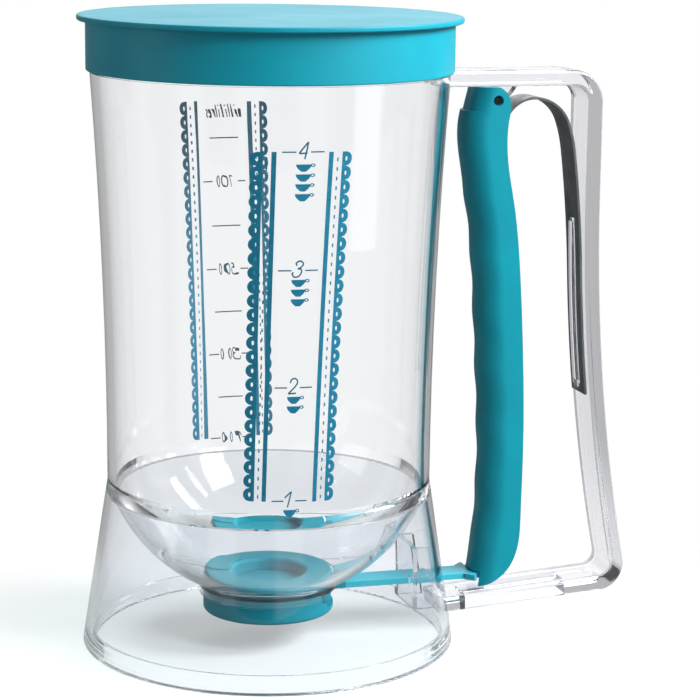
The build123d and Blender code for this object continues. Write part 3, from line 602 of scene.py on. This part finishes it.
def white_floor():
    """A seamless paper floor that reads as white, and keeps the object's soft shadow near it."""
    material, tree, out = new_material("paper_floor")
    path = add(tree, "ShaderNodeLightPath").outputs
    # The paper throws less light up at the object than it shows.
    tone = add(tree, "ShaderNodeMix", {"data_type": "RGBA"}, {
        0: path["Is Diffuse Ray"], 6: linear("#FAFAFA"), 7: linear("#8C9092")})
    paper = add(tree, "ShaderNodeBsdfDiffuse", inputs={"Color": tone.outputs[2]})
    seen = add(tree, "ShaderNodeMath", {"operation": "MAXIMUM"}, {
        0: path["Is Camera Ray"], 1: path["Is Transmission Ray"]})
    mirrored = add(tree, "ShaderNodeMath", {"operation": "MULTIPLY"}, {
        0: path["Is Glossy Ray"], 1: MIRRORED_FLOOR})
    either = add(tree, "ShaderNodeMath", {"operation": "MAXIMUM"}, {0: seen.outputs[0], 1: mirrored.outputs[0]})
    bright = add(tree, "ShaderNodeMath", {"operation": "MULTIPLY"}, {
        0: either.outputs[0], 1: inner_dimming(tree, path)})
    glow = add(tree, "ShaderNodeEmission", inputs={"Color": WHITE, "Strength": bright.outputs[0]})
    glows = add(tree, "ShaderNodeMath", {"operation": "GREATER_THAN"}, {0: bright.outputs[0], 1: 0.0})
    where = add(tree, "ShaderNodeTexCoord").outputs["Object"]
    far = add(tree, "ShaderNodeVectorMath", {"operation": "LENGTH"}, {0: where})
    fade = add(tree, "ShaderNodeMapRange", {"interpolation_type": "SMOOTHSTEP"}, {
        0: far.outputs["Value"], 1: FADE_FROM, 2: FADE_TO, 3: NEAR_WHITE, 4: 1.0})
    share = add(tree, "ShaderNodeMath", {"operation": "MULTIPLY"}, {0: glows.outputs[0], 1: fade.outputs[0]})
    mixed = add(tree, "ShaderNodeMixShader", inputs={
        0: share.outputs[0], 1: paper.outputs[0], 2: glow.outputs[0]})
    tree.links.new(mixed.outputs[0], out.inputs["Surface"])
    return material


def studio():
    """A white room to the camera. Gloss and clear plastic also see its black cards and its darker ceiling."""
    world = bpy.data.worlds.new("studio")
    world.use_nodes = True
    tree = world.node_tree
    tree.nodes.clear()
    way = add(tree, "ShaderNodeTexCoord").outputs["Generated"]
    flat = add(tree, "ShaderNodeVectorMath", {"operation": "MULTIPLY"}, {0: way, 1: (1, 1, 0)})
    level = add(tree, "ShaderNodeVectorMath", {"operation": "NORMALIZE"}, {0: flat.outputs[0]})
    rise = add(tree, "ShaderNodeSeparateXYZ", inputs={0: way}).outputs["Z"]
    shade = add(tree, "ShaderNodeMapRange", {"interpolation_type": "SMOOTHSTEP"}, {
        0: rise, 1: CEILING_FROM, 2: CEILING_TO, 3: 1.0, 4: CEILING_SHADE})
    for azimuth, half in CARDS:
        facing = (cos(radians(azimuth)), sin(radians(azimuth)), 0)
        near = add(tree, "ShaderNodeVectorMath", {"operation": "DOT_PRODUCT"}, {0: level.outputs[0], 1: facing})
        card = add(tree, "ShaderNodeMapRange", {"interpolation_type": "SMOOTHSTEP"}, {
            0: near.outputs["Value"], 1: cos(radians(half + CARD_EDGE)), 2: cos(radians(half - CARD_EDGE)),
            3: 1.0, 4: CARD_SHADE})
        shade = add(tree, "ShaderNodeMath", {"operation": "MULTIPLY"}, {0: shade.outputs[0], 1: card.outputs[0]})
    path = add(tree, "ShaderNodeLightPath").outputs
    tint = add(tree, "ShaderNodeMix", {"data_type": "RGBA"}, {
        0: shade.outputs[0], 6: linear("#C9C6D8"), 7: WHITE})
    dimmed = add(tree, "ShaderNodeMath", {"operation": "MULTIPLY"}, {
        0: shade.outputs[0], 1: inner_dimming(tree, path)})
    room = add(tree, "ShaderNodeBackground", inputs={"Color": tint.outputs[2], "Strength": dimmed.outputs[0]})
    soft = add(tree, "ShaderNodeBackground", inputs={"Color": linear("#F4F8FA"), "Strength": AMBIENT})
    seen = add(tree, "ShaderNodeMath", {"operation": "MAXIMUM"}, {
        0: path["Is Glossy Ray"], 1: path["Is Transmission Ray"]})
    lit = add(tree, "ShaderNodeMixShader", inputs={0: seen.outputs[0], 1: soft.outputs[0], 2: room.outputs[0]})
    white = add(tree, "ShaderNodeBackground", inputs={"Color": WHITE, "Strength": 1.0})
    whole = add(tree, "ShaderNodeMixShader", inputs={
        0: path["Is Camera Ray"], 1: lit.outputs[0], 2: white.outputs[0]})
    add(tree, "ShaderNodeOutputWorld", inputs={"Surface": whole.outputs[0]})
    return world


floor_mesh = bpy.data.meshes.new("floor")
corners = [(u, v, 0) for u, v in rectangle(-FLOOR_REACH, -FLOOR_REACH, FLOOR_REACH, FLOOR_REACH)]
floor_mesh.from_pydata(corners, [], [(0, 1, 2, 3)])
floor_mesh.materials.append(white_floor())
floor = new_object("floor", floor_mesh)
floor.location.z = -FLOOR_DROP
bpy.context.scene.world = studio()

LAMP_AIM = (0.02, 0, 0.1)
LAMP_WIDTH, LAMP_HEIGHT = 0.5, 0.6


def softbox(name, place, power):
    """A soft lamp that faces the object's middle."""
    lamp = bpy.data.lights.new(name, "AREA")
    lamp.shape = "RECTANGLE"
    lamp.size, lamp.size_y = LAMP_WIDTH, LAMP_HEIGHT
    lamp.energy = power
    box = new_object(name, lamp)
    box.location = place
    box.rotation_euler = (Vector(LAMP_AIM) - Vector(place)).to_track_quat("-Z", "Y").to_euler()


softbox("key_right", place=(1.15, -0.37, 0.95), power=28.0)
softbox("key_front", place=(0.71, -0.98, 0.95), power=20.0)
softbox("rear", place=(0.35, 1.0, 1.0), power=3.5)
softbox("fill", place=(-1.1, 0.0, 0.3), power=1.4)

# ---- camera ----
CAMERA_PLACE = (-0.1922, -0.7578, 0.2569)
TURN, DOWN, ROLL = 16.2, 11.39, 0.66    # degrees
LENS, SENSOR = 123.11, 36.0             # mm
BOUNCES = 64          # light runs a long way inside the thick clear rings

camera_data = bpy.data.cameras.new("camera")
camera_data.lens = LENS
camera_data.sensor_width = SENSOR
camera_data.clip_start = 0.05
camera = new_object("camera", camera_data)
camera.matrix_world = (Matrix.Translation(CAMERA_PLACE) @ Matrix.Rotation(radians(-TURN), 4, "Z")
                       @ Matrix.Rotation(radians(90 - DOWN), 4, "X") @ Matrix.Rotation(radians(ROLL), 4, "Z"))
bpy.context.scene.camera = camera
bpy.context.scene.view_settings.view_transform = "Standard"
bpy.context.scene.cycles.max_bounces = BOUNCES
bpy.context.scene.cycles.transmission_bounces = BOUNCES
bpy.context.scene.cycles.glossy_bounces = BOUNCES
